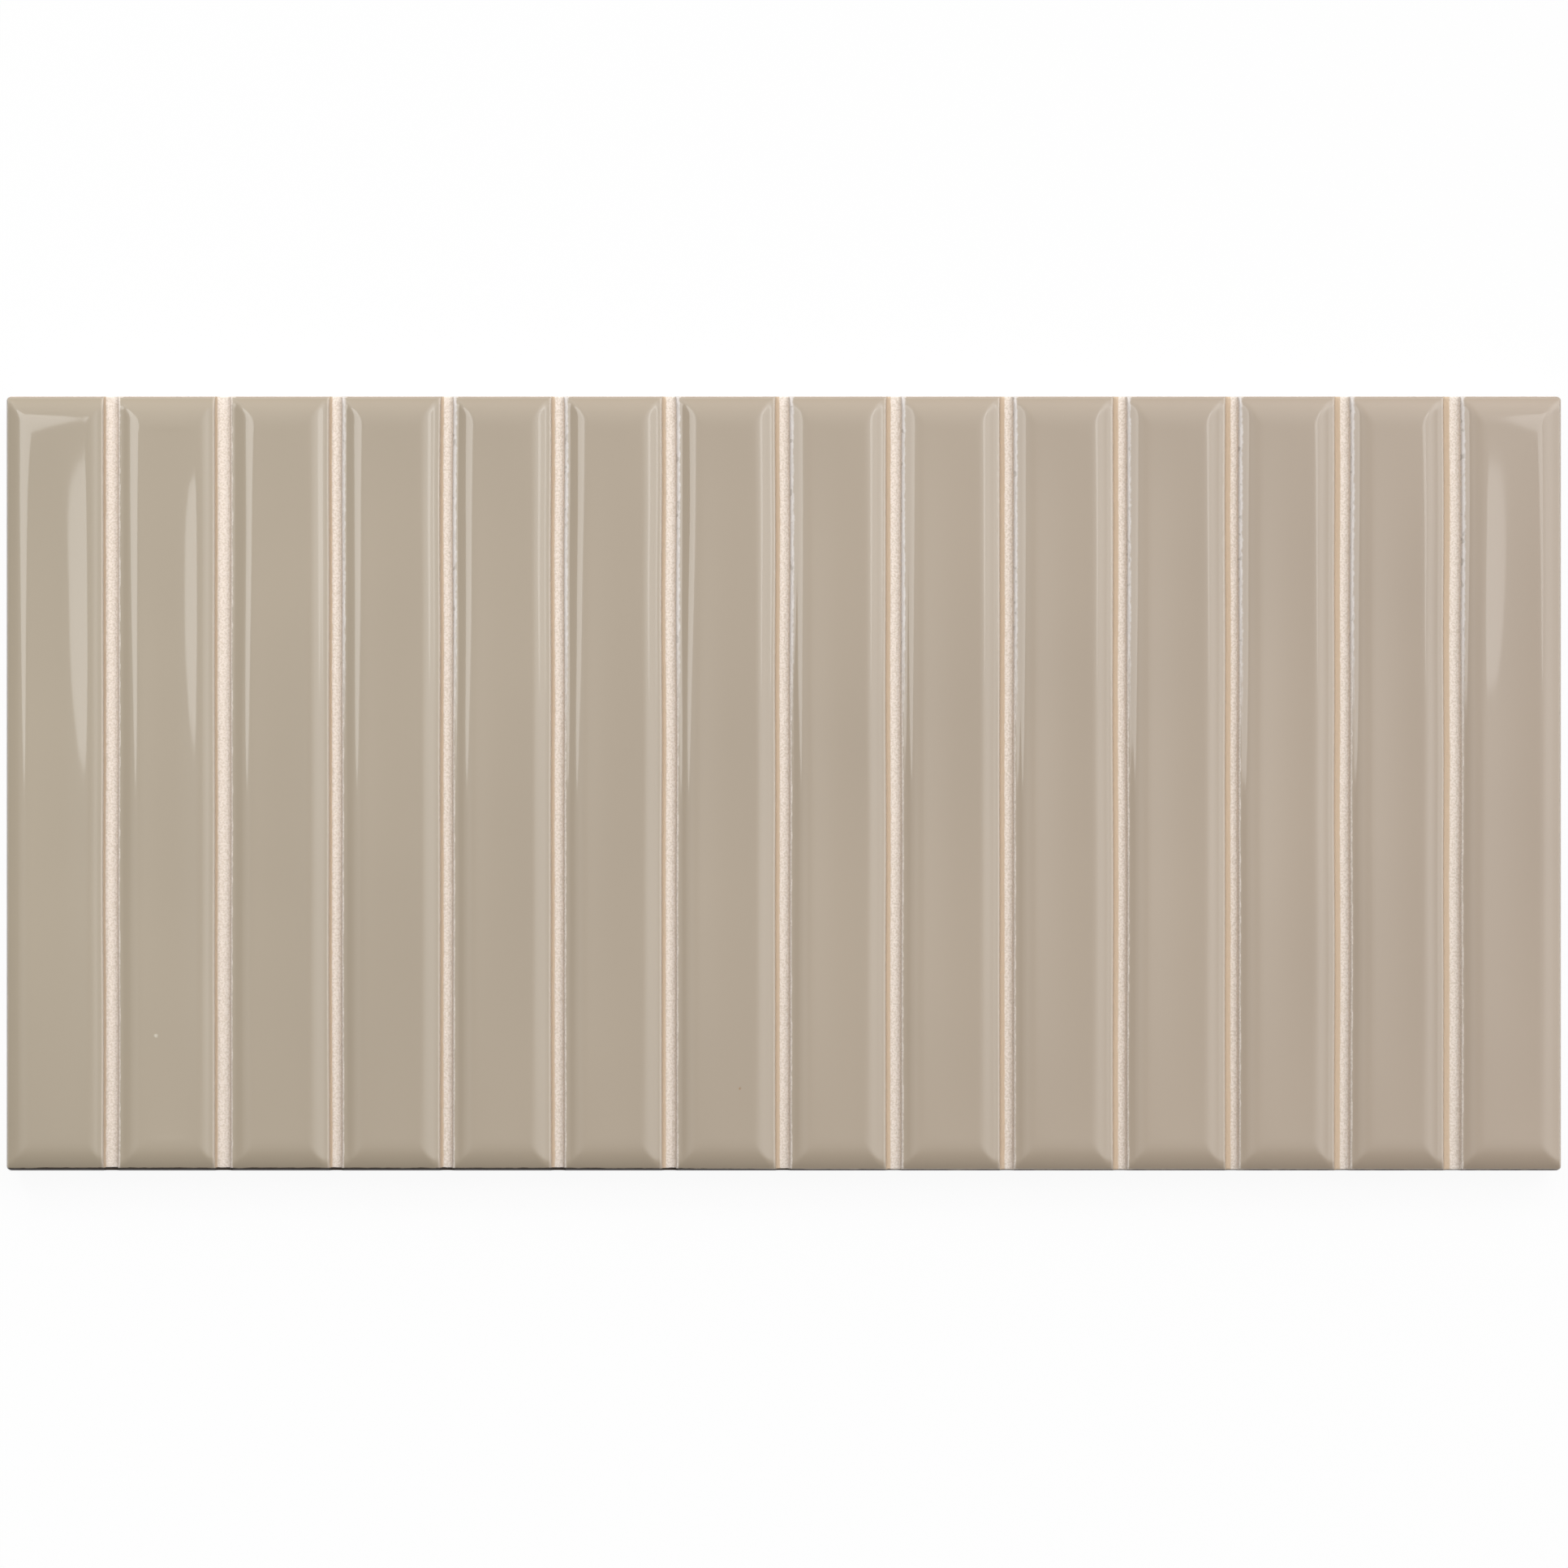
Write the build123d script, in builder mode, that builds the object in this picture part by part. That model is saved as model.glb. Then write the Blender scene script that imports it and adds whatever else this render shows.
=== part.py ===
from build123d import *
import os
from math import atan, cos, sin, tan

# A pressed, glazed wall tile with a row of raised bars, lying face up.
# X runs across the bars and Y along them. The origin is the middle of the back.

# Driving dimensions, in millimetres and degrees

bar_count = 14
bar_width = 14.2          # across a bar, wall to wall
groove_width = 2.4        # clear width between the walls of two bars
groove_depth = 2.1        # crown of the bars down to the groove floor
groove_round = 0.5        # round between a groove's floor and its walls
tile_width = 114.6        # along the bars
tile_thickness = 9.0      # back to the crown of the bars
tile_corner = 0.7         # round of the tile's four upright corners
bevel_drop = 0.7          # fall of every bevel, from the rim of a crown to the bevel's foot
groove_bevel = 1.9        # plan width of the bevels along the grooves, before rounding
edge_bevel = 2.5          # plan width of the bevels along the tile's own edges, before rounding
shoulder_round = 3.0      # round where the bevels meet the crown
crown_hollow = 0.12       # dish of the crown, from rim to middle
arris_round = 0.4         # round where the bevels meet the upright walls
back_chamfer = 0.5        # arris round the back
key_width = 8.2           # channels pressed into the back, one behind each bar
key_depth = 0.7
key_draft = 30.0          # slope of a channel's sides
key_round = 2.0           # plan corners of a channel
key_margin = 6.0          # plain border between a channel's end and the tile's edge

# Sizes that follow from them

bar_pitch = bar_width + groove_width
tile_length = bar_count * bar_pitch - groove_width
groove_floor = tile_thickness - groove_depth
crown_width = bar_width - 2 * groove_bevel
key_length = tile_width - 2 * key_margin

# The rims are drawn higher by what the shoulder rounds take off them
bevel_slope = atan(bevel_drop / groove_bevel)
hollow_slope = 2 * atan(2 * crown_hollow / crown_width)
shoulder_reach = shoulder_round * tan((bevel_slope + hollow_slope) / 2)
shoulder_loss = shoulder_reach * sin(bevel_slope) - shoulder_round * (1 - cos(bevel_slope))
rim_height = tile_thickness + shoulder_loss
foot_height = rim_height - bevel_drop

# The edge bevels are drawn on to twice their size, so that nothing else of their outline cuts the bars
edge_run = 2 * edge_bevel
edge_height = foot_height + 2 * bevel_drop


# Section across one bar, from the back up: walls, groove bevels and dished crown
with BuildSketch() as bar_section:
    with BuildLine():
        wall = Line((-bar_width / 2, 0), (-bar_width / 2, foot_height))
        bevel = Line(wall @ 1, (-crown_width / 2, rim_height))
        crown = ThreePointArc(bevel @ 1, (0, rim_height - crown_hollow), (crown_width / 2, rim_height))
        Polyline(crown @ 1, (bar_width / 2, foot_height), (bar_width / 2, 0), wall @ 0)
    make_face()
    bar_feet = bar_section.vertices().group_by(Axis.Y)[1]
    fillet(bar_feet, arris_round)


# Upright outline of the whole tile from one side, with the bevels of two opposite edges
def edge_outline(span):
    with BuildSketch() as outline:
        with BuildLine():
            half = Polyline(
                (0, 0),
                (span / 2, 0),
                (span / 2, foot_height),
                (span / 2 - edge_run, edge_height),
                (0, edge_height),
            )
            mirror(half, about=Plane.YZ)
        make_face()
        edge_feet = outline.vertices().group_by(Axis.Y)[1]
        fillet(edge_feet, arris_round)
    return outline.sketch


end_outline = edge_outline(tile_width)
side_outline = edge_outline(tile_length)

with BuildPart() as wall_tile:
    # Body and bars in one section, with rounded groove floors
    with BuildSketch(Plane.XZ) as tile_section:
        with Locations((0, groove_floor / 2)):
            Rectangle(tile_length, groove_floor)
        with GridLocations(bar_pitch, 0, bar_count, 1):
            add(bar_section.sketch)
        floor_corners = tile_section.vertices().group_by(Axis.Y)[1]
        fillet(floor_corners, groove_round)
    extrude(amount=tile_width / 2, both=True)

    # Bevels of the tile's four edges, which meet the groove bevels in mitres at the bars' corners
    with BuildSketch(Plane.YZ):
        add(end_outline)
    extrude(amount=tile_length / 2, both=True, mode=Mode.INTERSECT)
    with BuildSketch(Plane.XZ):
        add(side_outline)
    extrude(amount=tile_width / 2, both=True, mode=Mode.INTERSECT)

    # Upright corners of the tile
    with BuildSketch():
        RectangleRounded(tile_length, tile_width, tile_corner)
    extrude(amount=edge_height, mode=Mode.INTERSECT)

    # Soft shoulders all round each crown
    crowns = wall_tile.faces().sort_by(Axis.Z)[-bar_count:]
    fillet(crowns.edges(), shoulder_round)

    # Keyed back: a channel behind each bar, with full thickness left behind the grooves
    with BuildSketch():
        with GridLocations(bar_pitch, 0, bar_count, 1):
            RectangleRounded(key_width, key_length, key_round)
    extrude(amount=key_depth, taper=key_draft, mode=Mode.SUBTRACT)
    back = wall_tile.faces().sort_by(Axis.Z)[0]
    chamfer(back.outer_wire().edges(), back_chamfer)

wall_tile.part.label = "wall_tile"

os.makedirs("parts", exist_ok=True)
export_step(wall_tile.part, "parts/wall_tile.step")
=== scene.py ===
from math import radians

import bpy
import numpy as np
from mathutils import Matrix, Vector


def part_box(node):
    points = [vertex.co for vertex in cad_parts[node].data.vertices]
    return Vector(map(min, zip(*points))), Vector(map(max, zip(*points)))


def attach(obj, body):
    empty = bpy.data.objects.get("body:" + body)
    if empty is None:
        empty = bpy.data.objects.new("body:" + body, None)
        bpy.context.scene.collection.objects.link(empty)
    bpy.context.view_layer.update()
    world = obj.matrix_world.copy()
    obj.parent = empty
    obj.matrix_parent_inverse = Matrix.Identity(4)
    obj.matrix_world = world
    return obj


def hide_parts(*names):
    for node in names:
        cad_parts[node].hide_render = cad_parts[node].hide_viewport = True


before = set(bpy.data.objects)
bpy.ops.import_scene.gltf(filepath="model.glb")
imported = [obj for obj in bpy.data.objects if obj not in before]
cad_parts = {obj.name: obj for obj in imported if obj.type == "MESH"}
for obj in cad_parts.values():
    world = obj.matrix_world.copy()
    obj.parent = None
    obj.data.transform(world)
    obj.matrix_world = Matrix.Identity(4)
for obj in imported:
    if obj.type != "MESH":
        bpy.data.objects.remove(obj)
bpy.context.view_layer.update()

mm = 0.001   # shapes are worked out in millimetres, the mesh is in metres

boxLow, boxHigh = (np.array(corner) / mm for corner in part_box("wall_tile"))
tileLength, tileWidth, tileThick = boxHigh - boxLow
print("frame: tile", tileLength.round(2), tileWidth.round(2), tileThick.round(2))


# 0 below low, 1 above high, and an S curve between them
def easeStep(low, high, x):
    u = np.clip((x - low) / (high - low), 0, 1)
    return u * u * (3 - 2 * u)


# The higher of two values, with the crease between them rounded over the width soft
def softMax(a, b, soft):
    near = np.clip(soft - np.abs(a - b), 0, None) / np.maximum(soft, 1e-9)
    return np.maximum(a, b) + near * near * soft / 4


relief = {
    "bars": 14,
    "grooveWidth": 2.4,        # as pressed, before the glaze
    "grooveDepth": 2.1,
    "grooveRounds": (0.45, 0.5),   # at the left and at the right of the groove floors
    "wallDraft": 0.16,         # a groove is narrower at its floor, on each side
    # clear width of each groove between the glazed edges, and how far it is off its place
    "clearWidths": (2.25, 2.4, 1.95, 1.95, 2.0, 2.2, 2.2, 2.35, 2.1, 2.1, 2.05, 2.4, 2.65),
    "grooveShifts": (0.1, 0.05, 0.1, -0.05, -0.25, -0.35, -0.15, -0.35, -0.2, -0.05, -0.1, -0.35, -0.7),
    "mitreSoft": 0.6,
    "dishDepth": 0.16,         # sunk crown
    "dishInset": (2.9, 2.4),   # where it starts, from the bar's left and right side
    "dishEnds": 4.8,           # and from the bar's ends
    "dishShape": 1.3,          # a higher power brings it in more gently from the sides
    # for each bar: its share of that depth, how soon the dish fades towards the ends,
    # how much further in the left bevel reaches at the far end and the right bevel all along,
    # and its share of the bead on the left
    "dishShares": (1.2, 1.4, 0.9, 1.0, 1.0, 1.0, 1.0, 1.0, 1.0, 1.0, 0.9, 0.85, 0.75, 0.74),
    "dishFades": (1.0, 0.55, 0.7, 0.7, 0.7, 0.7, 0.7, 0.7, 0.7, 0.7, 0.7, 0.7, 0.7, 0.8),
    "leftShifts": (-0.15, -0.3, 0.35, 0.1, 0.3, 0.5, 0.6, -0.2, 0.0, 0.0, 0.0, 0.0, 0.0, 0.0),
    "rightShifts": (-0.85, -0.65, 0.0, 0.0, 0.0, 0.0, 0.0, 0.0, 0.0, 0.0, 0.0, 0.0, 0.0, 0.0),
    "leftBeads": (0.0, 1.0, 1.0, 1.0, 1.0, 1.0, 1.0, 0.5, 0.5, 0.45, 0.2, 0.15, 0.15, 0.15),
    "shiftStart": (0.0, 40.0), # the left bevel's shift grows between these places along the bar
    "cornerRound": 0.7,
    "floorArris": 0.25,        # round at the groove floors' ends
    "skirtTop": 0.6,           # first ring of the sides, below the groove floor
    "waveHeight": 0.004,       # unevenness of the glaze
    "waveLengths": (9.0, 24.0),
    "waveFade": (0.8, 3.0),    # it comes in between these distances from a bar's edge
    "wander": 0.05,            # sideways wander of the edges
    "wanderLengths": (25.0, 60.0),
    "wanderFade": 12.0,        # it dies away over this distance from the tile's ends
    "seed": 7,
    "sharpAngle": 30.0,
}

# how many lines the mesh has on each stretch
meshLines = {
    "arris": 6,
    "sideBead": 9,         # on the part of a bar's side that may carry a bead
    "endBead": 7,          # and on the same part of a bar's end
    "bevelMore": 5,        # so many more on the rest of the bevel
    "crown": 11,
    "wall": 5,
    "wallRound": 6,
    "grooveFloor": 6,
    "alongBar": 27,
    "keyRound": 8,
    "alongKey": 7,
}

# a bevel's steepest slope, where it starts to ease and where it ends, measured from its foot,
# and the shape of that easing
leftBevel = {"slope": 0.32, "ease": (0.7, 4.0), "shape": (1.3, 2.0)}
rightBevel = {"slope": 0.30, "ease": (0.8, 3.5), "shape": (1.6, 1.6)}
lastBevel = {"slope": 0.23, "ease": (1.0, 3.6), "shape": (1.6, 1.6)}
endBevel = {"slope": 0.66, "ease": (0.0, 5.0), "shape": (1.0, 2.3)}

# reach, drop and bow of the arris at the left and the right of a bar and round the tile
leftArris = (0.28, 0.20, 1.4)
grooveArris = (0.12, 0.22, 2.0)
rimArris = (0.30, 0.75, 1.3)

# bead of glaze along the grooves: height, reach, softness of its inner edge
edgeBead = (0.1275, 0.85, 0.15)
beadEnd = 1.25    # the bead has died away here
bevelPast = 0.5   # mesh lines go on this far past a bevel

slopeSamples = 2001   # to sum up a bevel's slope

noPlace = -9.0    # stands for a distance from a groove that is too far to matter

barWidth = (tileLength + relief["grooveWidth"]) / relief["bars"] - relief["grooveWidth"]
barPitch = barWidth + relief["grooveWidth"]
grooveFloor = tileThick - relief["grooveDepth"]


# Fall of a quarter of a superellipse: upright at d = 0, level at its reach;
# a bow of 1 is a straight chamfer
def arrisFall(d, reach, drop, bow):
    inner = 1 - np.clip(d / reach, 0, 1)
    return drop * (1 - (1 - inner ** bow) ** (1 / bow))


# Fall of a bevel below the crown at the distance d from its foot: the slope, steepest at the foot,
# dies away as (1 - u ** a) ** b and is summed up from the crown down
def bevelFall(d, bevel, shift=0.0):
    low, high = bevel["ease"]
    a, b = bevel["shape"]
    fine = np.linspace(0, high + shift, slopeSamples)
    u = np.clip((fine - low - shift) / (high - low), 0, 1)
    slope = bevel["slope"] * (1 - u ** a) ** b
    rise = np.concatenate(([0], np.cumsum((slope[1:] + slope[:-1]) / 2))) * fine[1]
    return rise[-1] - np.interp(d, fine, rise)


# Height of the glaze that gathers along a groove: a ramp down from the edge that ends softly
def beadRise(d):
    height, reach, soft = edgeBead
    t = 1 - d / reach
    return height * (t + np.sqrt(t * t + soft * soft)) / 2


# Distances from a bevel's foot, close at the arris and on the bead
def bevelStations(bevel, arris, steps):
    curve = arris[0] * (1 - np.cos(np.linspace(0, np.pi / 2, meshLines["arris"])))
    bead = np.linspace(arris[0], beadEnd, steps)
    rest = np.linspace(beadEnd, bevel["ease"][1] + bevelPast, steps + meshLines["bevelMore"])
    return np.concatenate((curve[:-1], bead[:-1], rest))


# Left and right side of every bar, from the grooves' places and widths
def barSides():
    count = relief["bars"] - 1
    middles = -tileLength / 2 + barWidth + relief["grooveWidth"] / 2 + barPitch * np.arange(count)
    middles = middles + np.array(relief["grooveShifts"])
    half = np.array(relief["clearWidths"]) / 2
    left = np.concatenate(([-tileLength / 2], middles + half))
    right = np.concatenate((middles - half, [tileLength / 2]))
    return left, right


# A groove's wall from its top down: straight with a draft, then a quarter round onto the floor
def wallX(share, quarter, draft, corner):
    return np.concatenate((draft * share, draft + corner * (1 - np.cos(quarter))[1:]))


def wallZ(share, quarter, top, corner):
    foot = grooveFloor + corner
    return np.concatenate((top + (foot - top) * share, foot - corner * np.sin(quarter)[1:]))


# Section across the tile as columns: plan x, fall of the bars' sides at the near and the far end,
# dish and its fading, distance from the bar's side, the grooves' height at the near and the far end,
# and distances from the grooves' left and right side, which are below 0 on the bars
def sectionColumns():
    lefts, rights = barSides()
    last = relief["bars"] - 1
    steps = meshLines["sideBead"]
    quarter = np.linspace(0, np.pi / 2, meshLines["wallRound"])
    share = np.linspace(0, 1, meshLines["wall"])[1:]
    draft = relief["wallDraft"]
    insetLeft, insetRight = relief["dishInset"]
    parts = []

    def leftFall(k, d, shift):
        arris = rimArris if k == 0 else leftArris
        bead = relief["leftBeads"][k] * beadRise(d)
        return bevelFall(d, leftBevel, shift) + arrisFall(d, *arris) - bead

    def rightFall(k, d):
        if k == last:
            return bevelFall(d, lastBevel) + arrisFall(d, *rimArris)
        bevel = bevelFall(d, rightBevel, relief["rightShifts"][k])
        return bevel + arrisFall(d, *grooveArris) - beadRise(d)

    for k, (left, right) in enumerate(zip(lefts, rights)):
        start = left + bevelStations(leftBevel, rimArris if k == 0 else leftArris, steps)
        end = right - bevelStations(rightBevel, rimArris if k == last else grooveArris, steps)[::-1]
        x = np.concatenate((start, np.linspace(start[-1], end[0], meshLines["crown"])[1:-1], end))
        nearFall = np.maximum(leftFall(k, x - left, 0.0), rightFall(k, right - x))
        farFall = np.maximum(leftFall(k, x - left, relief["leftShifts"][k]), rightFall(k, right - x))
        dishLeft = left + insetLeft
        dishRight = right - insetRight - relief["rightShifts"][k]
        u = (2 * x - dishLeft - dishRight) / (dishRight - dishLeft)
        depth = relief["dishDepth"] * relief["dishShares"][k]
        dish = depth * np.clip(1 - u * u, 0, None) ** relief["dishShape"]
        fade = np.full_like(x, relief["dishFades"][k])
        inside = np.minimum(x - left, right - x)
        fromLeft = x - right if k < last else np.full_like(x, noPlace)
        fromRight = left - x if k > 0 else np.full_like(x, noPlace)
        none = np.full_like(x, np.nan)
        parts.append((x, nearFall, farFall, dish, fade, inside, none, none, fromLeft, fromRight))
        if k < last:
            width = lefts[k + 1] - right
            leftTop = tileThick - rightFall(k, 0.0)
            leftX, rightX = (wallX(share, quarter, draft, corner) for corner in relief["grooveRounds"])
            floorX = np.linspace(leftX[-1], width - rightX[-1], meshLines["grooveFloor"])[1:-1]
            x = np.concatenate((leftX, floorX, width - rightX[::-1]))
            heights = []
            for shift in (0.0, relief["leftShifts"][k + 1]):
                rightTop = tileThick - leftFall(k + 1, 0.0, shift)
                leftZ = wallZ(share, quarter, leftTop, relief["grooveRounds"][0])
                rightZ = wallZ(share, quarter, rightTop, relief["grooveRounds"][1])
                floorZ = np.full_like(floorX, grooveFloor)
                heights.append(np.concatenate((leftZ, floorZ, rightZ[::-1])))
            none = np.zeros_like(x)
            parts.append((right + x, none, none, none, none + 1, none, *heights, x, width - x))
    return [np.concatenate(column) for column in zip(*parts)]


# Rows along the bars: bevel stations at both ends, even between them
def barRows():
    near = -tileWidth / 2 + bevelStations(endBevel, rimArris, meshLines["endBead"])
    middle = np.linspace(near[-1], -near[-1], meshLines["alongBar"])[1:-1]
    return np.concatenate((near, middle, -near[::-1]))


# Rounds the four upright corners: a corner square of side r is carried onto a quarter disc
def roundCorners(x, y, length, width, r):
    p = np.clip((np.abs(x) - length / 2 + r) / r, 0, 1)
    q = np.clip((np.abs(y) - width / 2 + r) / r, 0, 1)
    atCorner = (p > 0) & (q > 0)
    newX = np.where(atCorner, np.sign(x) * (length / 2 - r + r * p * np.sqrt(1 - q * q / 2)), x)
    newY = np.where(atCorner, np.sign(y) * (width / 2 - r + r * q * np.sqrt(1 - p * p / 2)), y)
    return newX, newY


# Uneven field of height about 1: eight plane waves of random direction, length and start
def unevenField(x, y, lengths, seed):
    waves = 8
    draw = np.random.default_rng(seed)
    turn = draw.uniform(0, np.pi, waves)
    number = 2 * np.pi / draw.uniform(*lengths, waves)
    start = draw.uniform(0, 2 * np.pi, waves)
    along = x[..., None] * np.cos(turn) + y[..., None] * np.sin(turn)
    return np.sin(number * along + start).sum(axis=-1) / (waves / 2)


# The glazed face as a grid: on the bars the height is the crown, less the larger of side and end bevel,
# less the dish; the grooves have their own heights
def faceGrid():
    colX, nearFall, farFall, dish, fade, inside, grooveZ, farZ, fromLeft, fromRight = sectionColumns()
    rowY = barRows()
    far = easeStep(*relief["shiftStart"], rowY)[:, None]
    sideFall = nearFall + (farFall - nearFall) * far
    endPlace = (tileWidth / 2 - np.abs(rowY))[:, None]
    endFall = bevelFall(endPlace, endBevel) + arrisFall(endPlace, *rimArris)
    dishPlace = rowY / (tileWidth / 2 - relief["dishEnds"])
    dishFade = np.clip(1 - dishPlace ** 2, 0, None)[:, None] ** fade
    soft = relief["mitreSoft"] * np.clip(np.minimum(sideFall, endFall), 0, None)
    barZ = tileThick - softMax(sideFall, endFall, soft) - dish * dishFade
    floorEnd = arrisFall(endPlace, relief["floorArris"], relief["floorArris"], 2.0)
    lowZ = np.minimum(grooveZ + (farZ - grooveZ) * far, tileThick - endFall) - floorEnd
    isBar = np.isnan(grooveZ)[None, :]
    x, y = np.meshgrid(colX, rowY)
    inner = easeStep(0, relief["wanderFade"], tileLength / 2 - np.abs(x))
    wave = unevenField(x, y, relief["waveLengths"], relief["seed"])
    drift = unevenField(x, y, relief["wanderLengths"], relief["seed"] + 1)
    fromEdge = np.minimum(inside[None, :], endPlace)
    crown = easeStep(*relief["waveFade"], fromEdge)
    z = np.where(isBar, barZ + relief["waveHeight"] * (wave - 1) * crown, lowZ)
    x = x + relief["wander"] * drift * inner
    place = np.stack(np.broadcast_arrays(fromEdge, fromLeft, fromRight), axis=-1)
    x, y = roundCorners(x, y, tileLength, tileWidth, relief["cornerRound"])
    return x, y, z, colX, rowY, grooveZ, place


back = {
    "chamfer": 0.5,
    "keyWidth": 8.2,       # channels pressed into the back, one behind each bar
    "keyDepth": 0.7,
    "keySlope": 0.404,     # plan width of a channel's sloping side
    "keyRound": 2.0,
    "keyMargin": 6.0,
    "frame": (1.0, 3.0),   # plain border kept outside the grid of the back, at its ends and along it
}


# The back as a grid: a channel's depth ramps up with the distance inside a rounded rectangle
def backGrid():
    half = back["keyWidth"] / 2
    corner = np.linspace(half - back["keyRound"], half, meshLines["keyRound"])
    across = np.concatenate((-corner[::-1], [0.0], corner))
    centres = (np.arange(relief["bars"]) - (relief["bars"] - 1) / 2) * barPitch
    limitX = tileLength / 2 - back["chamfer"] - back["frame"][0]
    colX = np.concatenate(([-limitX], (centres[:, None] + across[None, :]).ravel(), [limitX]))
    endY = tileWidth / 2 - back["keyMargin"]
    ends = np.linspace(endY - back["keyRound"], endY, meshLines["keyRound"])
    middle = np.linspace(-ends[0], ends[0], meshLines["alongKey"])[1:-1]
    limitY = tileWidth / 2 - back["chamfer"] - back["frame"][1]
    rowY = np.concatenate(([-limitY], -ends[::-1], middle, ends, [limitY]))
    x, y = np.meshgrid(colX, rowY)
    fromCentre = np.abs(x[..., None] - centres).min(axis=-1)
    inX = fromCentre - (half - back["keyRound"])
    inY = np.abs(y) - (endY - back["keyRound"])
    beyond = np.hypot(np.clip(inX, 0, None), np.clip(inY, 0, None))
    outside = beyond + np.minimum(np.maximum(inX, inY), 0)
    inside = back["keyRound"] - outside
    z = back["keyDepth"] * np.clip(inside / back["keySlope"], 0, 1)
    return x, y, z


# Quads of a grid of rows by columns, whose first vertex has the number start
def gridQuads(rows, cols, start):
    first = start + (np.arange(rows - 1)[:, None] * cols + np.arange(cols - 1)[None, :]).ravel()
    return np.stack((first, first + 1, first + cols + 1, first + cols), axis=1)


# Vertex numbers round the rim of such a grid, anticlockwise from its first corner
def gridRim(rows, cols, start):
    near = np.arange(cols - 1)
    right = np.arange(rows - 1) * cols + cols - 1
    far = (rows - 1) * cols + np.arange(cols - 1, 0, -1)
    left = np.arange(rows - 1, 0, -1) * cols
    return start + np.concatenate((near, right, far, left))


# Place of a rim point as a number that grows anticlockwise from the first corner: side number plus share
def ringPlace(x, y, length, width):
    u = x / length + 0.5
    v = y / width + 0.5
    distance = np.stack((v, 1 - u, 1 - v, u))
    side = np.argmin(distance, axis=0)
    share = np.stack((u, v, 1 - u, 1 - v))[side, np.arange(len(side))]
    place = side + share
    place[0] = 0.0
    return np.maximum.accumulate(place)


skin = {
    "margin": 0.01,        # in shares of the sheet
    "sideHeight": 9.0,     # height kept for each strip
    "stripGap": 2.0,       # between the right and the left side, which share a strip
}


# The skin laid out on a square sheet: the face rolled out along its sections, then the back, then the sides
# in strips; the regions are 0 face, 1 near side, 2 right side, 3 far side, 4 left side and 5 back
def layOut(mesh, verts, region, colX, sectionZ, rowY, rowZ):
    def rolled(a, b):
        return np.concatenate(([0], np.cumsum(np.hypot(np.diff(a), np.diff(b)))))

    gap = skin["margin"]
    across = rolled(colX, sectionZ)
    along = rolled(rowY, rowZ)
    scale = (1 - 2 * gap) / across[-1]
    faceTop = gap + along[-1] * scale
    backTop = faceTop + gap + tileWidth * scale
    strip = skin["sideHeight"] * scale + gap / 2
    corners = np.empty(len(mesh.loops), dtype=np.int32)
    mesh.loops.foreach_get("vertex_index", corners)
    sizes = np.empty(len(mesh.polygons), dtype=np.int32)
    mesh.polygons.foreach_get("loop_total", sizes)
    region = np.repeat(region, sizes)
    x, y, z = verts[corners].T
    column = corners % len(colX)
    row = np.minimum(corners // len(colX), len(rowY) - 1)
    length, width = tileLength / 2, tileWidth / 2
    middle = gap + (tileWidth + skin["stripGap"]) * scale
    u = np.select(
        [region == 0, region == 1, region == 2, region == 3, region == 4],
        [across[column], x + length, y + width, length - x, width - y],
        length - x,
    )
    u = gap + u * scale + np.where(region == 4, middle, 0)
    v = np.select(
        [region == 0, region == 5],
        [gap + along[row] * scale, faceTop + gap + (y + width) * scale],
        backTop + gap + np.choose(region, (0, 0, 2, 1, 2, 0)) * strip + z * scale,
    )
    layer = mesh.uv_layers.new(name="OFBake")
    layer.uv.foreach_set("vector", np.stack((u, v), axis=1).astype(np.float32).ravel())
    print("skin: %.3f to %.3f by %.3f to %.3f" % (u.min(), u.max(), v.min(), v.max()))


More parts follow.
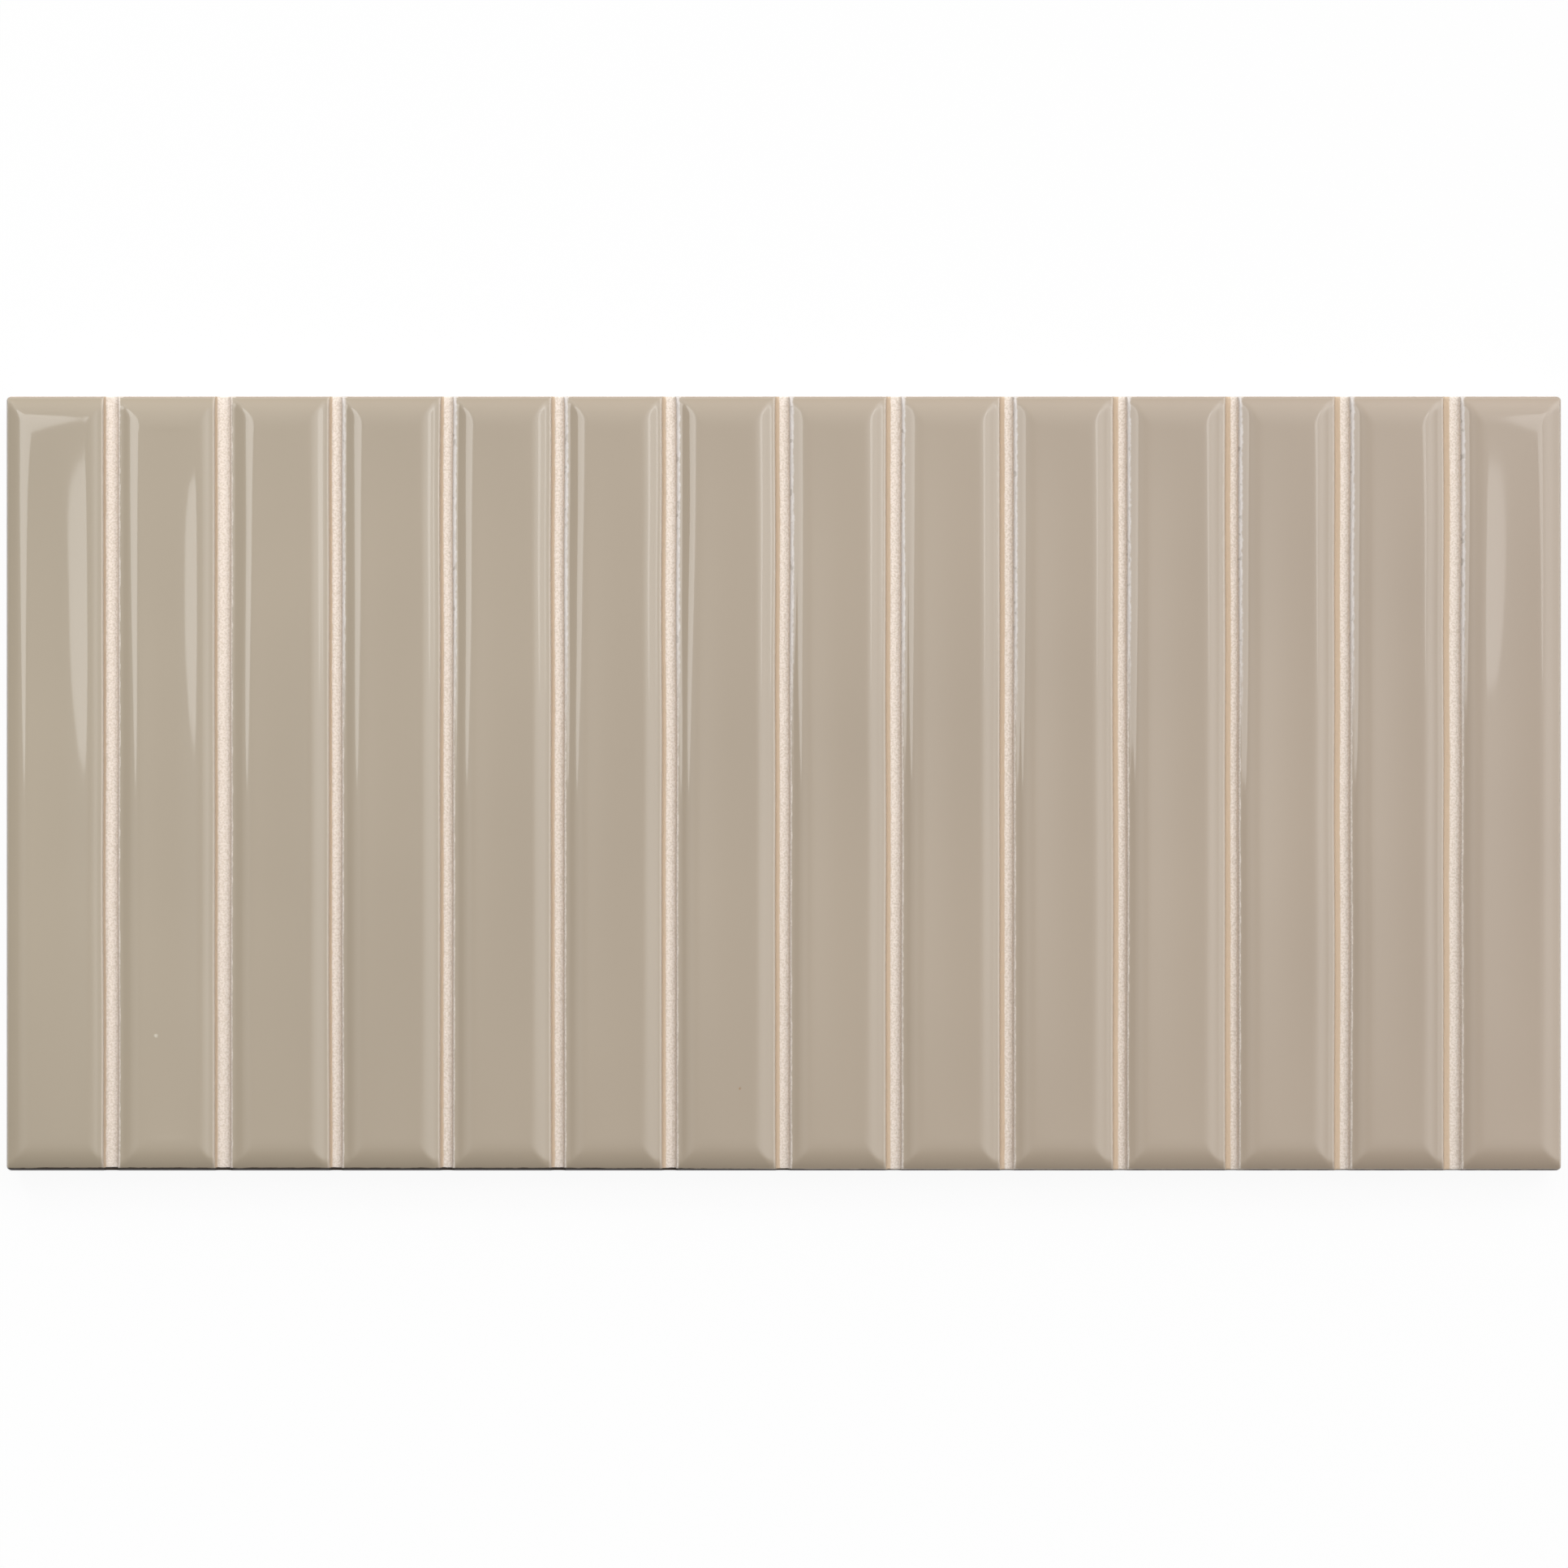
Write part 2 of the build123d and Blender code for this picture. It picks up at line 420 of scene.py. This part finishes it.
# The whole tile as one closed mesh: face grid, three rings down the sides, border of the back, back grid
def buildTile():
    x, y, z, colX, rowY, grooveZ, place = faceGrid()
    rows, cols = x.shape
    rim = gridRim(rows, cols, 0)

    # columns are spread anew below the grooves, so that the sides have no folded quads
    rise = np.nan_to_num(grooveZ, nan=tileThick)[:, None] - grooveFloor
    wallFoot = (np.abs(rise - np.array(relief["grooveRounds"])) < 1e-6).any(axis=1)
    fixed = np.concatenate(([0], np.flatnonzero(wallFoot), [cols - 1]))
    spreadX = np.interp(np.arange(cols), fixed, colX[fixed])
    flatX, flatY = (flat.ravel()[rim] for flat in np.meshgrid(spreadX, rowY))
    ringX, ringY = roundCorners(flatX, flatY, tileLength, tileWidth, relief["cornerRound"])
    inX = ringX * (1 - 2 * back["chamfer"] / tileLength)
    inY = ringY * (1 - 2 * back["chamfer"] / tileWidth)
    level = np.ones_like(ringX)
    rings = [
        np.stack((ringX, ringY, level * (grooveFloor - relief["skirtTop"])), axis=1),
        np.stack((ringX, ringY, level * back["chamfer"]), axis=1),
        np.stack((inX, inY, level * 0), axis=1),
    ]

    backX, backY, backZ = backGrid()
    backRows, backCols = backX.shape
    count = len(rim)
    faceCount = rows * cols
    ringIds = [rim] + [faceCount + k * count + np.arange(count) for k in range(len(rings))]
    backStart = faceCount + len(rings) * count
    verts = np.concatenate((
        np.stack((x, y, z), axis=-1).reshape(-1, 3),
        *rings,
        np.stack((backX, backY, backZ), axis=-1).reshape(-1, 3),
    ))

    faceQuads = gridQuads(rows, cols, 0)
    sideQuads = []
    for upper, lower in zip(ringIds[:-1], ringIds[1:]):
        sideQuads.append(np.stack((upper, lower, np.roll(lower, -1), np.roll(upper, -1)), axis=1))
    backQuads = gridQuads(backRows, backCols, backStart)[:, ::-1]

    # border of the back: each edge of the back grid has a fan of triangles to the outer ring beside it
    backRim = gridRim(backRows, backCols, backStart)
    outerPlace = ringPlace(inX, inY, tileLength, tileWidth)
    innerPlace = ringPlace(verts[backRim, 0], verts[backRim, 1], 2 * backX.max(), 2 * backY.max())
    picks = np.searchsorted(outerPlace, innerPlace)
    picks = np.concatenate((picks, [count]))
    innerIds = np.concatenate((backRim, backRim[:1]))
    outerIds = np.concatenate((ringIds[-1], ringIds[-1][:1]))
    border = []
    for k in range(len(backRim)):
        inner, after = int(innerIds[k]), int(innerIds[k + 1])
        outer = outerIds[picks[k]:picks[k + 1] + 1].tolist()
        border += [[inner, right, left] for left, right in zip(outer, outer[1:])]
        border.append([inner, after, outer[-1]])

    quads = np.concatenate([faceQuads] + sideQuads + [backQuads])
    mesh = bpy.data.meshes.new("wallTile")
    mesh.from_pydata((verts * mm).tolist(), [], quads.tolist() + border)
    mesh.update()

    # place on the relief for the glaze, the burnt lines and the painted shadows and highlights: distance
    # from the bar's edge and the groove's sides
    beyond = np.tile((0.0, noPlace, noPlace), (len(verts) - faceCount, 1))
    values = np.concatenate((place.reshape(-1, 3), beyond)).astype(np.float32)
    attribute = mesh.attributes.new("reliefPlace", "FLOAT_VECTOR", "POINT")
    attribute.data.foreach_set("vector", values.ravel())

    sideCounts = (cols - 1, rows - 1, cols - 1, rows - 1)
    region = np.concatenate((
        np.zeros(len(faceQuads), int),
        np.tile(np.repeat((1, 2, 3, 4), sideCounts), len(rings)),
        np.full(len(backQuads) + len(border), 5),
    ))
    faceSection = np.where(np.isnan(grooveZ), z[rows // 2], grooveZ)
    layOut(mesh, verts, region, colX, faceSection, rowY, z[:, cols // 2])

    mesh.calc_loop_triangles()
    print("tile:", len(verts), "vertices,", len(mesh.loop_triangles), "triangles")

    obj = bpy.data.objects.new("wallTile", mesh)
    bpy.context.collection.objects.link(obj)
    mesh.shade_smooth()
    mesh.set_sharp_from_angle(angle=radians(relief["sharpAngle"]))
    return obj


noiseBand = (0.25, 0.75)   # most values of a noise are between these

glaze = {
    "leftColour": (0.372, 0.314, 0.236),    # a shade greener on the left, pinker on the right
    "rightColour": (0.390, 0.314, 0.244),
    "roughness": 0.04,
    "refraction": 1.5,
    "cloudShade": 0.965,                    # faint clouds
    "cloudScale": 22.0,
    "paleColour": (0.58, 0.50, 0.42),       # paler where the glaze is thinner over the edges, and a painted highlight along the bar edges
    "paleReach": (0.05, 0.45),
    "paleShare": 0.6,
    "edgeHeight": 7.95,                     # it ends about here on the walls and sides
    "edgeWander": 0.12,
    "edgeScale": 700.0,
    "edgeSoft": 0.03,
    "beadHeight": 0.00004,                  # ragged bead along the edges, in metres
    "beadReach": 0.5,
    "beadScale": 1300.0,
    "ragWidth": (0.16, 0.24),               # how far it has drawn back from the right side of each groove
    "ragScale": 650.0,
    "ragRange": (0.42, 0.62),
    "ragSoft": (-0.12, 0.08),
    "glintFringeColour": (0.67, 0.63, 0.61),     # pale fringe there: thinner ragged glaze with a painted reflection on it
    "glintFringeShare": 0.7,
    "fringeReach": (-0.62, -0.30, 0.0, 0.15),    # on the bar below 0 and down the wall above it
    "glintStartX": (-78.0, -60.0),         # the painted reflection comes in from the left and towards the far end
    "glintStartY": (4.0, 26.0),
    "fringeRag": 0.14,
    "fringeScale": 1100.0,
    "tickShadowColour": (0.36, 0.31, 0.26),       # dark ticks in the fringe, painted shadows at the scalloped glaze edge
    "tickShadowShare": 0.5,
    "tickScale": 800.0,
    "tickRange": (0.64, 0.70),
}

biscuit = {
    "colour": (0.825, 0.745, 0.675),
    "dark": (0.68, 0.595, 0.51),            # sandy grain
    "grainScale": 3500.0,
    "grainRange": (0.35, 0.62),
    "sandHeight": 0.00006,                  # in metres
    "roughness": 0.9,
    "grooveSoft": 0.02,
    "nearShade": 0.885,                     # darker at the near end of the grooves than at the far end
    "farShade": 0.985,
    "grooveShadowColour": (0.60, 0.47, 0.345),     # painted shadow of each groove's left wall, warm, along the left side of each groove
    "grooveShadowWidths": (0.20, 1.10),            # its width in the first groove and in the last
    "grooveShadowRag": 0.12,
    "grooveShadowScale": 900.0,
    "grooveShadowSoft": 0.10,
    "lineColour": (0.60, 0.475, 0.35),      # brown edge where the glaze ends in the grooves
    "rimColour": (0.26, 0.175, 0.11),       # and round the tile
    "lineWidth": 0.55,
    "lineShare": 0.9,
    "lineClear": (0.3, 0.9),                # the right wall of each groove has none
    "rimClear": (-0.8, -0.5),               # nor has the bar's edge beside it
    "nearEdgeShadeColour": (0.035, 0.024, 0.018),    # painted shade, near black, along the near edge
    "nearEdgeShadeWidths": (0.46, 0.12),             # its width at the left and at the right
    "nearEdgeShadeTurn": (-45.0, 40.0),              # and where it changes
    "nearEdgeShadeRag": 0.07,
    "nearEdgeShadeScale": 500.0,
    "nearEdgeShadeSoft": 0.05,
}

# small faults: place on the face, radius and colour of a pale chip and a dark tick
faults = (
    ((-92.8, -37.3), 0.24, (0.58, 0.53, 0.44)),
    ((-6.5, -45.1), 0.08, (0.30, 0.17, 0.08)),
)
faultEdge = {"width": 0.4, "scale": 2500.0}


def addNode(tree, kind, inputs=None, **settings):
    node = tree.nodes.new(kind)
    for name, value in settings.items():
        setattr(node, name, value)
    for name, value in (inputs or {}).items():
        if isinstance(value, bpy.types.NodeSocket):
            tree.links.new(value, node.inputs[name])
        else:
            node.inputs[name].default_value = value
    return node


def mathNode(tree, operation, *values):
    return addNode(tree, "ShaderNodeMath", dict(enumerate(values)), operation=operation).outputs[0]


def mixColour(tree, factor, first, second, blend="MIX"):
    inputs = {0: factor, 6: first, 7: second}
    return addNode(tree, "ShaderNodeMix", inputs, data_type="RGBA", blend_type=blend).outputs[2]


def easeNode(tree, value, low, high, toLow=0.0, toHigh=1.0):
    inputs = {"Value": value, "From Min": low, "From Max": high, "To Min": toLow, "To Max": toHigh}
    return addNode(tree, "ShaderNodeMapRange", inputs, interpolation_type="SMOOTHSTEP").outputs[0]


def rampNode(tree, value, low, high, toLow, toHigh):
    inputs = {"Value": value, "From Min": low, "From Max": high, "To Min": toLow, "To Max": toHigh}
    return addNode(tree, "ShaderNodeMapRange", inputs).outputs[0]


def noiseNode(tree, place, scale, detail=2.0):
    inputs = {"Vector": place, "Scale": scale, "Detail": detail}
    return addNode(tree, "ShaderNodeTexNoise", inputs).outputs[0]


def greyNode(tree, level):
    return addNode(tree, "ShaderNodeCombineColor", {0: level, 1: level, 2: level}).outputs[0]


# Sandy body in the grooves, on the sides and the back, with a painted shadow along the left side of each
# groove
def biscuitColour(tree, place, axes, fromLeft, inGroove, grain):
    speck = easeNode(tree, grain, *biscuit["grainRange"])
    colour = mixColour(tree, speck, (*biscuit["dark"], 1), (*biscuit["colour"], 1))
    half = tileWidth / 2 * mm
    shade = rampNode(tree, axes["Y"], -half, half, biscuit["nearShade"], biscuit["farShade"])
    colour = mixColour(tree, 1.0, colour, greyNode(tree, shade), "MULTIPLY")
    span = tileLength / 2 * mm
    # painted shadow cast by each groove's left wall, wider towards the right
    width = rampNode(tree, axes["X"], -span, span, *biscuit["grooveShadowWidths"])
    rough = noiseNode(tree, place, biscuit["grooveShadowScale"], detail=3.0)
    uneven = rampNode(tree, rough, 0.0, 1.0, -biscuit["grooveShadowRag"], biscuit["grooveShadowRag"])
    left = mathNode(tree, "SUBTRACT", mathNode(tree, "ADD", fromLeft, uneven), width)
    shadowBand = easeNode(tree, left, -biscuit["grooveShadowSoft"], biscuit["grooveShadowSoft"], 1.0, 0.0)
    shadowBand = mathNode(tree, "MULTIPLY", shadowBand, inGroove)
    return mixColour(tree, shadowBand, colour, (*biscuit["grooveShadowColour"], 1))


# Glaze: colour shifts from left to right and in faint clouds, paler over the edges where the glaze is
# thinner and where a highlight is painted
def glazeColour(tree, place, axes, fromEdge):
    span = tileLength / 2 * mm
    across = rampNode(tree, axes["X"], -span, span, 0.0, 1.0)
    colour = mixColour(tree, across, (*glaze["leftColour"], 1), (*glaze["rightColour"], 1))
    dim = glaze["cloudShade"]
    cloud = rampNode(tree, noiseNode(tree, place, glaze["cloudScale"]), *noiseBand, dim, 2 - dim)
    colour = mixColour(tree, 1.0, colour, greyNode(tree, cloud), "MULTIPLY")
    # paler glaze over the edges, with a painted highlight along them
    thinEdgeAndHighlight = easeNode(tree, fromEdge, *glaze["paleReach"], glaze["paleShare"], 0.0)
    colour = mixColour(tree, thinEdgeAndHighlight, colour, (*glaze["paleColour"], 1))
    for (x, y), radius, tone in faults:
        middle = (x * mm, y * mm, tileThick * mm)
        measure = addNode(tree, "ShaderNodeVectorMath", {0: place, 1: middle}, operation="DISTANCE")
        distance = measure.outputs["Value"]
        noise = noiseNode(tree, place, faultEdge["scale"])
        ragged = mathNode(tree, "MULTIPLY_ADD", noise, faultEdge["width"] * mm, distance)
        spot = easeNode(tree, ragged, radius * mm, (radius + faultEdge["width"]) * mm, 1.0, 0.0)
        colour = mixColour(tree, spot, colour, (*tone, 1))
    return colour


# Share of the pale fringe along the right side of each groove, where the glaze is thinner and a reflection
# is painted on it, and share of the painted shadow ticks in it
def glintFringeShares(tree, place, axes, fromRight):
    inStart, inFull, outFull, outEnd = glaze["fringeReach"]
    acrossX = easeNode(tree, axes["X"], *(x * mm for x in glaze["glintStartX"]))
    alongY = easeNode(tree, axes["Y"], *(y * mm for y in glaze["glintStartY"]))
    rough = noiseNode(tree, place, glaze["fringeScale"], detail=3.0)
    uneven = rampNode(tree, rough, *noiseBand, -glaze["fringeRag"], glaze["fringeRag"])
    ragged = mathNode(tree, "ADD", fromRight, uneven)
    band = mathNode(tree, "MULTIPLY", acrossX, alongY)
    band = mathNode(tree, "MULTIPLY", band, easeNode(tree, ragged, inStart, inFull))
    band = mathNode(tree, "MULTIPLY", band, easeNode(tree, ragged, outFull, outEnd, 1.0, 0.0))
    spots = noiseNode(tree, place, glaze["tickScale"], detail=1.0)
    spots = easeNode(tree, spots, *glaze["tickRange"], 0.0, glaze["tickShadowShare"])
    return mathNode(tree, "MULTIPLY", band, glaze["glintFringeShare"]), mathNode(tree, "MULTIPLY", band, spots)


# Share of the painted shade along the near edge
def nearEdgeShadeShare(tree, place, axes):
    edge = -tileWidth / 2 * mm
    fromNear = rampNode(tree, axes["Y"], edge, edge + mm, 0.0, 1.0)   # in millimetres, up to 1
    width = easeNode(tree, axes["X"], *(x * mm for x in biscuit["nearEdgeShadeTurn"]), *biscuit["nearEdgeShadeWidths"])
    rough = noiseNode(tree, place, biscuit["nearEdgeShadeScale"], detail=3.0)
    uneven = rampNode(tree, rough, *noiseBand, -biscuit["nearEdgeShadeRag"], biscuit["nearEdgeShadeRag"])
    inside = mathNode(tree, "SUBTRACT", mathNode(tree, "ADD", fromNear, uneven), width)
    return easeNode(tree, inside, -biscuit["nearEdgeShadeSoft"], biscuit["nearEdgeShadeSoft"], 1.0, 0.0)


# One fired skin: gloss glaze above a wandering line on the walls, sandy body below it
def tileMaterial():
    material = bpy.data.materials.new("glazedBody")
    material.use_nodes = True
    tree = material.node_tree
    tree.nodes.clear()
    place = addNode(tree, "ShaderNodeTexCoord").outputs["Object"]
    axes = addNode(tree, "ShaderNodeSeparateXYZ", {0: place}).outputs
    reliefPlace = addNode(tree, "ShaderNodeAttribute", attribute_name="reliefPlace").outputs["Vector"]
    fromEdge, fromLeft, fromRight = addNode(tree, "ShaderNodeSeparateXYZ", {0: reliefPlace}).outputs

    # the mask is 1 on the glaze and 0 on the bare body
    wander = noiseNode(tree, place, glaze["edgeScale"], detail=3.0)
    lowest = glaze["edgeHeight"] * mm
    line = rampNode(tree, wander, 0.0, 1.0, lowest, lowest + glaze["edgeWander"] * mm)
    above = mathNode(tree, "SUBTRACT", axes["Z"], line)
    mask = easeNode(tree, above, -glaze["edgeSoft"] * mm, glaze["edgeSoft"] * mm)

    # the glaze has drawn back along the right side of each groove
    rag = noiseNode(tree, place, glaze["ragScale"], detail=3.0)
    rag = easeNode(tree, rag, *glaze["ragRange"], *glaze["ragWidth"])
    drawn = mathNode(tree, "ADD", fromRight, rag)
    mask = mathNode(tree, "MULTIPLY", mask, easeNode(tree, drawn, *glaze["ragSoft"], 1.0, 0.0))
    inGroove = easeNode(tree, fromLeft, -biscuit["grooveSoft"], 0.0)

    # bare body, burnt brown just below the glaze
    grain = noiseNode(tree, place, biscuit["grainScale"], detail=4.0)
    body = biscuitColour(tree, place, axes, fromLeft, inGroove, grain)
    burnt = easeNode(tree, above, -biscuit["lineWidth"] * mm, 0.0, 0.0, biscuit["lineShare"])
    burntLeft = easeNode(tree, fromRight, *biscuit["lineClear"])
    offArris = easeNode(tree, fromRight, *biscuit["rimClear"], 1.0, 0.0)
    rim = mathNode(tree, "MULTIPLY", mathNode(tree, "SUBTRACT", 1.0, inGroove), offArris)
    burnt = mathNode(tree, "MULTIPLY", burnt, mathNode(tree, "MAXIMUM", burntLeft, rim))
    burntColour = mixColour(tree, inGroove, (*biscuit["rimColour"], 1), (*biscuit["lineColour"], 1))
    body = mixColour(tree, burnt, body, burntColour)

    # glaze over the body, then the fringe with its painted reflection, its painted shadow ticks and the
    # painted shade along the near edge
    colour = mixColour(tree, mask, body, glazeColour(tree, place, axes, fromEdge))
    fringe, tick = glintFringeShares(tree, place, axes, fromRight)
    # painted reflection on the ragged glaze along the right side of each groove
    colour = mixColour(tree, fringe, colour, (*glaze["glintFringeColour"], 1))
    # painted shadow ticks at the scalloped glaze edge
    colour = mixColour(tree, tick, colour, (*glaze["tickShadowColour"], 1))
    # painted shade along the near edge
    colour = mixColour(tree, nearEdgeShadeShare(tree, place, axes), colour, (*biscuit["nearEdgeShadeColour"], 1))
    rough = easeNode(tree, mask, 0.0, 1.0, biscuit["roughness"], glaze["roughness"])

    # sand on the body and a ragged bead on the glaze
    bare = mathNode(tree, "SUBTRACT", 1.0, mask)
    sand = mathNode(tree, "MULTIPLY", mathNode(tree, "MULTIPLY", grain, biscuit["sandHeight"]), bare)
    bead = mathNode(tree, "MULTIPLY", noiseNode(tree, place, glaze["beadScale"]), glaze["beadHeight"])
    bead = mathNode(tree, "MULTIPLY", bead, easeNode(tree, fromEdge, 0.0, glaze["beadReach"], 1.0, 0.0))
    height = mathNode(tree, "ADD", sand, bead)
    bump = addNode(tree, "ShaderNodeBump", {"Height": height, "Distance": 1.0}).outputs[0]

    inputs = {"Base Color": colour, "Roughness": rough, "Normal": bump, "IOR": glaze["refraction"]}
    shader = addNode(tree, "ShaderNodeBsdfPrincipled", inputs)
    addNode(tree, "ShaderNodeOutputMaterial", {"Surface": shader.outputs[0]})
    return material


tileObject = buildTile()
tileObject.data.materials.append(tileMaterial())
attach(tileObject, "root")
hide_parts("wall_tile")
print("tile placed")


floorStage = {
    "size": 3.0,
    "drop": 0.00005,       # just under the tile's back
    "albedo": 0.8,
    "whiteShare": 0.93,    # what the camera sees of plain white, the rest takes the shadow
}


def buildFloor():
    half = floorStage["size"] / 2
    z = -floorStage["drop"]
    corners = [(-half, -half, z), (half, -half, z), (half, half, z), (-half, half, z)]
    mesh = bpy.data.meshes.new("studioFloor")
    mesh.from_pydata(corners, [], [(0, 1, 2, 3)])
    floor = bpy.data.objects.new("studioFloor", mesh)
    bpy.context.collection.objects.link(floor)
    material = bpy.data.materials.new("paleFloor")
    material.use_nodes = True
    tree = material.node_tree
    tree.nodes.clear()
    path = addNode(tree, "ShaderNodeLightPath")
    seen = mathNode(tree, "MAXIMUM", path.outputs["Is Camera Ray"], path.outputs["Is Glossy Ray"])
    seen = mathNode(tree, "MAXIMUM", seen, path.outputs["Is Transmission Ray"])
    share = mathNode(tree, "MULTIPLY", seen, floorStage["whiteShare"])
    albedo = floorStage["albedo"]
    matt = addNode(tree, "ShaderNodeBsdfDiffuse", {"Color": (albedo, albedo, albedo, 1)})
    white = addNode(tree, "ShaderNodeEmission", {"Color": (1, 1, 1, 1), "Strength": 1.0})
    mix = addNode(tree, "ShaderNodeMixShader", {0: share, 1: matt.outputs[0], 2: white.outputs[0]})
    addNode(tree, "ShaderNodeOutputMaterial", {"Surface": mix.outputs[0]})
    mesh.materials.append(material)


buildFloor()
print("floor laid")


# soft tent: each range is of the direction's X, Y or Z, with the light's share before and after it
tent = {
    "strength": 0.795,
    "left": ((-0.50, -0.397), (0.498, 1.182)),
    "glow": ((-0.42, -0.24), (0.0, 0.60)),
    "glowEnd": ((-0.257, -0.119), (0.0, -0.449)),
    "right": ((-0.046, 0.435), (0.0, 2.477)),
    "rightEnd": ((0.452, 0.726), (0.0, -2.838)),
    "far": ((-0.42, 0.237), (0.0, 1.51)),
    "low": ((0.42, 0.80), (0.399, 1.0)),
    "tint": (1.0, 1.0, 1.0),
}


# World light over the direction: share from left to right, times share from near to far,
# times share by height
def buildTent():
    world = bpy.data.worlds.new("lightTent")
    bpy.context.scene.world = world
    world.use_nodes = True
    tree = world.node_tree
    tree.nodes.clear()
    way = addNode(tree, "ShaderNodeTexCoord").outputs["Generated"]
    axes = addNode(tree, "ShaderNodeSeparateXYZ", {0: way}).outputs

    def share(name, axis):
        (low, high), (before, after) = tent[name]
        return easeNode(tree, axes[axis], low, high, before, after)

    side = share("left", "X")
    for name in ("glow", "glowEnd", "right", "rightEnd"):
        side = mathNode(tree, "ADD", side, share(name, "X"))
    level = mathNode(tree, "MULTIPLY", side, share("far", "Y"))
    level = mathNode(tree, "MULTIPLY", level, share("low", "Z"))
    strength = mathNode(tree, "MULTIPLY", level, tent["strength"])
    sky = addNode(tree, "ShaderNodeBackground", {"Color": (*tent["tint"], 1), "Strength": strength})
    addNode(tree, "ShaderNodeOutputWorld", {"Surface": sky.outputs[0]})


# the two boxes show in the glaze, the key light only lights; places and sizes are in metres
lamps = {
    "leftBox": {
        "at": (-0.279, 0.150, 0.659),
        "aim": (-0.279, 0.150, 0.0),
        "size": (0.20, 0.30),
        "power": 0.437,
        "gloss": True,
    },
    "rightBox": {
        "at": (0.224, 0.150, 0.659),
        "aim": (0.224, 0.150, 0.0),
        "size": (0.08, 0.252),
        "power": 0.10,
        "gloss": True,
    },
    "keyBox": {
        "at": (-0.30, 0.40, 0.55),
        "aim": (0.0, 0.0, 0.0),
        "size": (0.10, 0.10),
        "power": 0.8,
        "gloss": False,
    },
}


def buildLamps():
    for name, lamp in lamps.items():
        light = bpy.data.lights.new(name, "AREA")
        light.shape = "ELLIPSE"
        light.size, light.size_y = lamp["size"]
        light.energy = lamp["power"]
        obj = bpy.data.objects.new(name, light)
        obj.location = lamp["at"]
        beam = Vector(lamp["aim"]) - Vector(lamp["at"])
        obj.rotation_euler = beam.to_track_quat("-Z", "Y").to_euler()
        obj.visible_glossy = lamp["gloss"]
        bpy.context.collection.objects.link(obj)


buildTent()
buildLamps()
print("light set")


view = {
    "plane": 8.0,            # height of the bars' edges, where the frame's width is taken
    "height": 0.90,          # above them
    "fieldWidth": 231.98,
    "aimX": 0.03,
    "aimY": -0.09,
    "sensor": 36.0,
    "clipStart": 0.01,
}


def buildCamera():
    camera = bpy.data.cameras.new("viewCamera")
    camera.sensor_width = view["sensor"]
    camera.lens = view["sensor"] * view["height"] / (view["fieldWidth"] * mm)
    camera.clip_start = view["clipStart"]
    obj = bpy.data.objects.new("viewCamera", camera)
    obj.location = (view["aimX"] * mm, view["aimY"] * mm, view["plane"] * mm + view["height"])
    bpy.context.collection.objects.link(obj)
    bpy.context.scene.camera = obj


buildCamera()
bpy.context.scene.view_settings.view_transform = "Standard"
print("camera set")
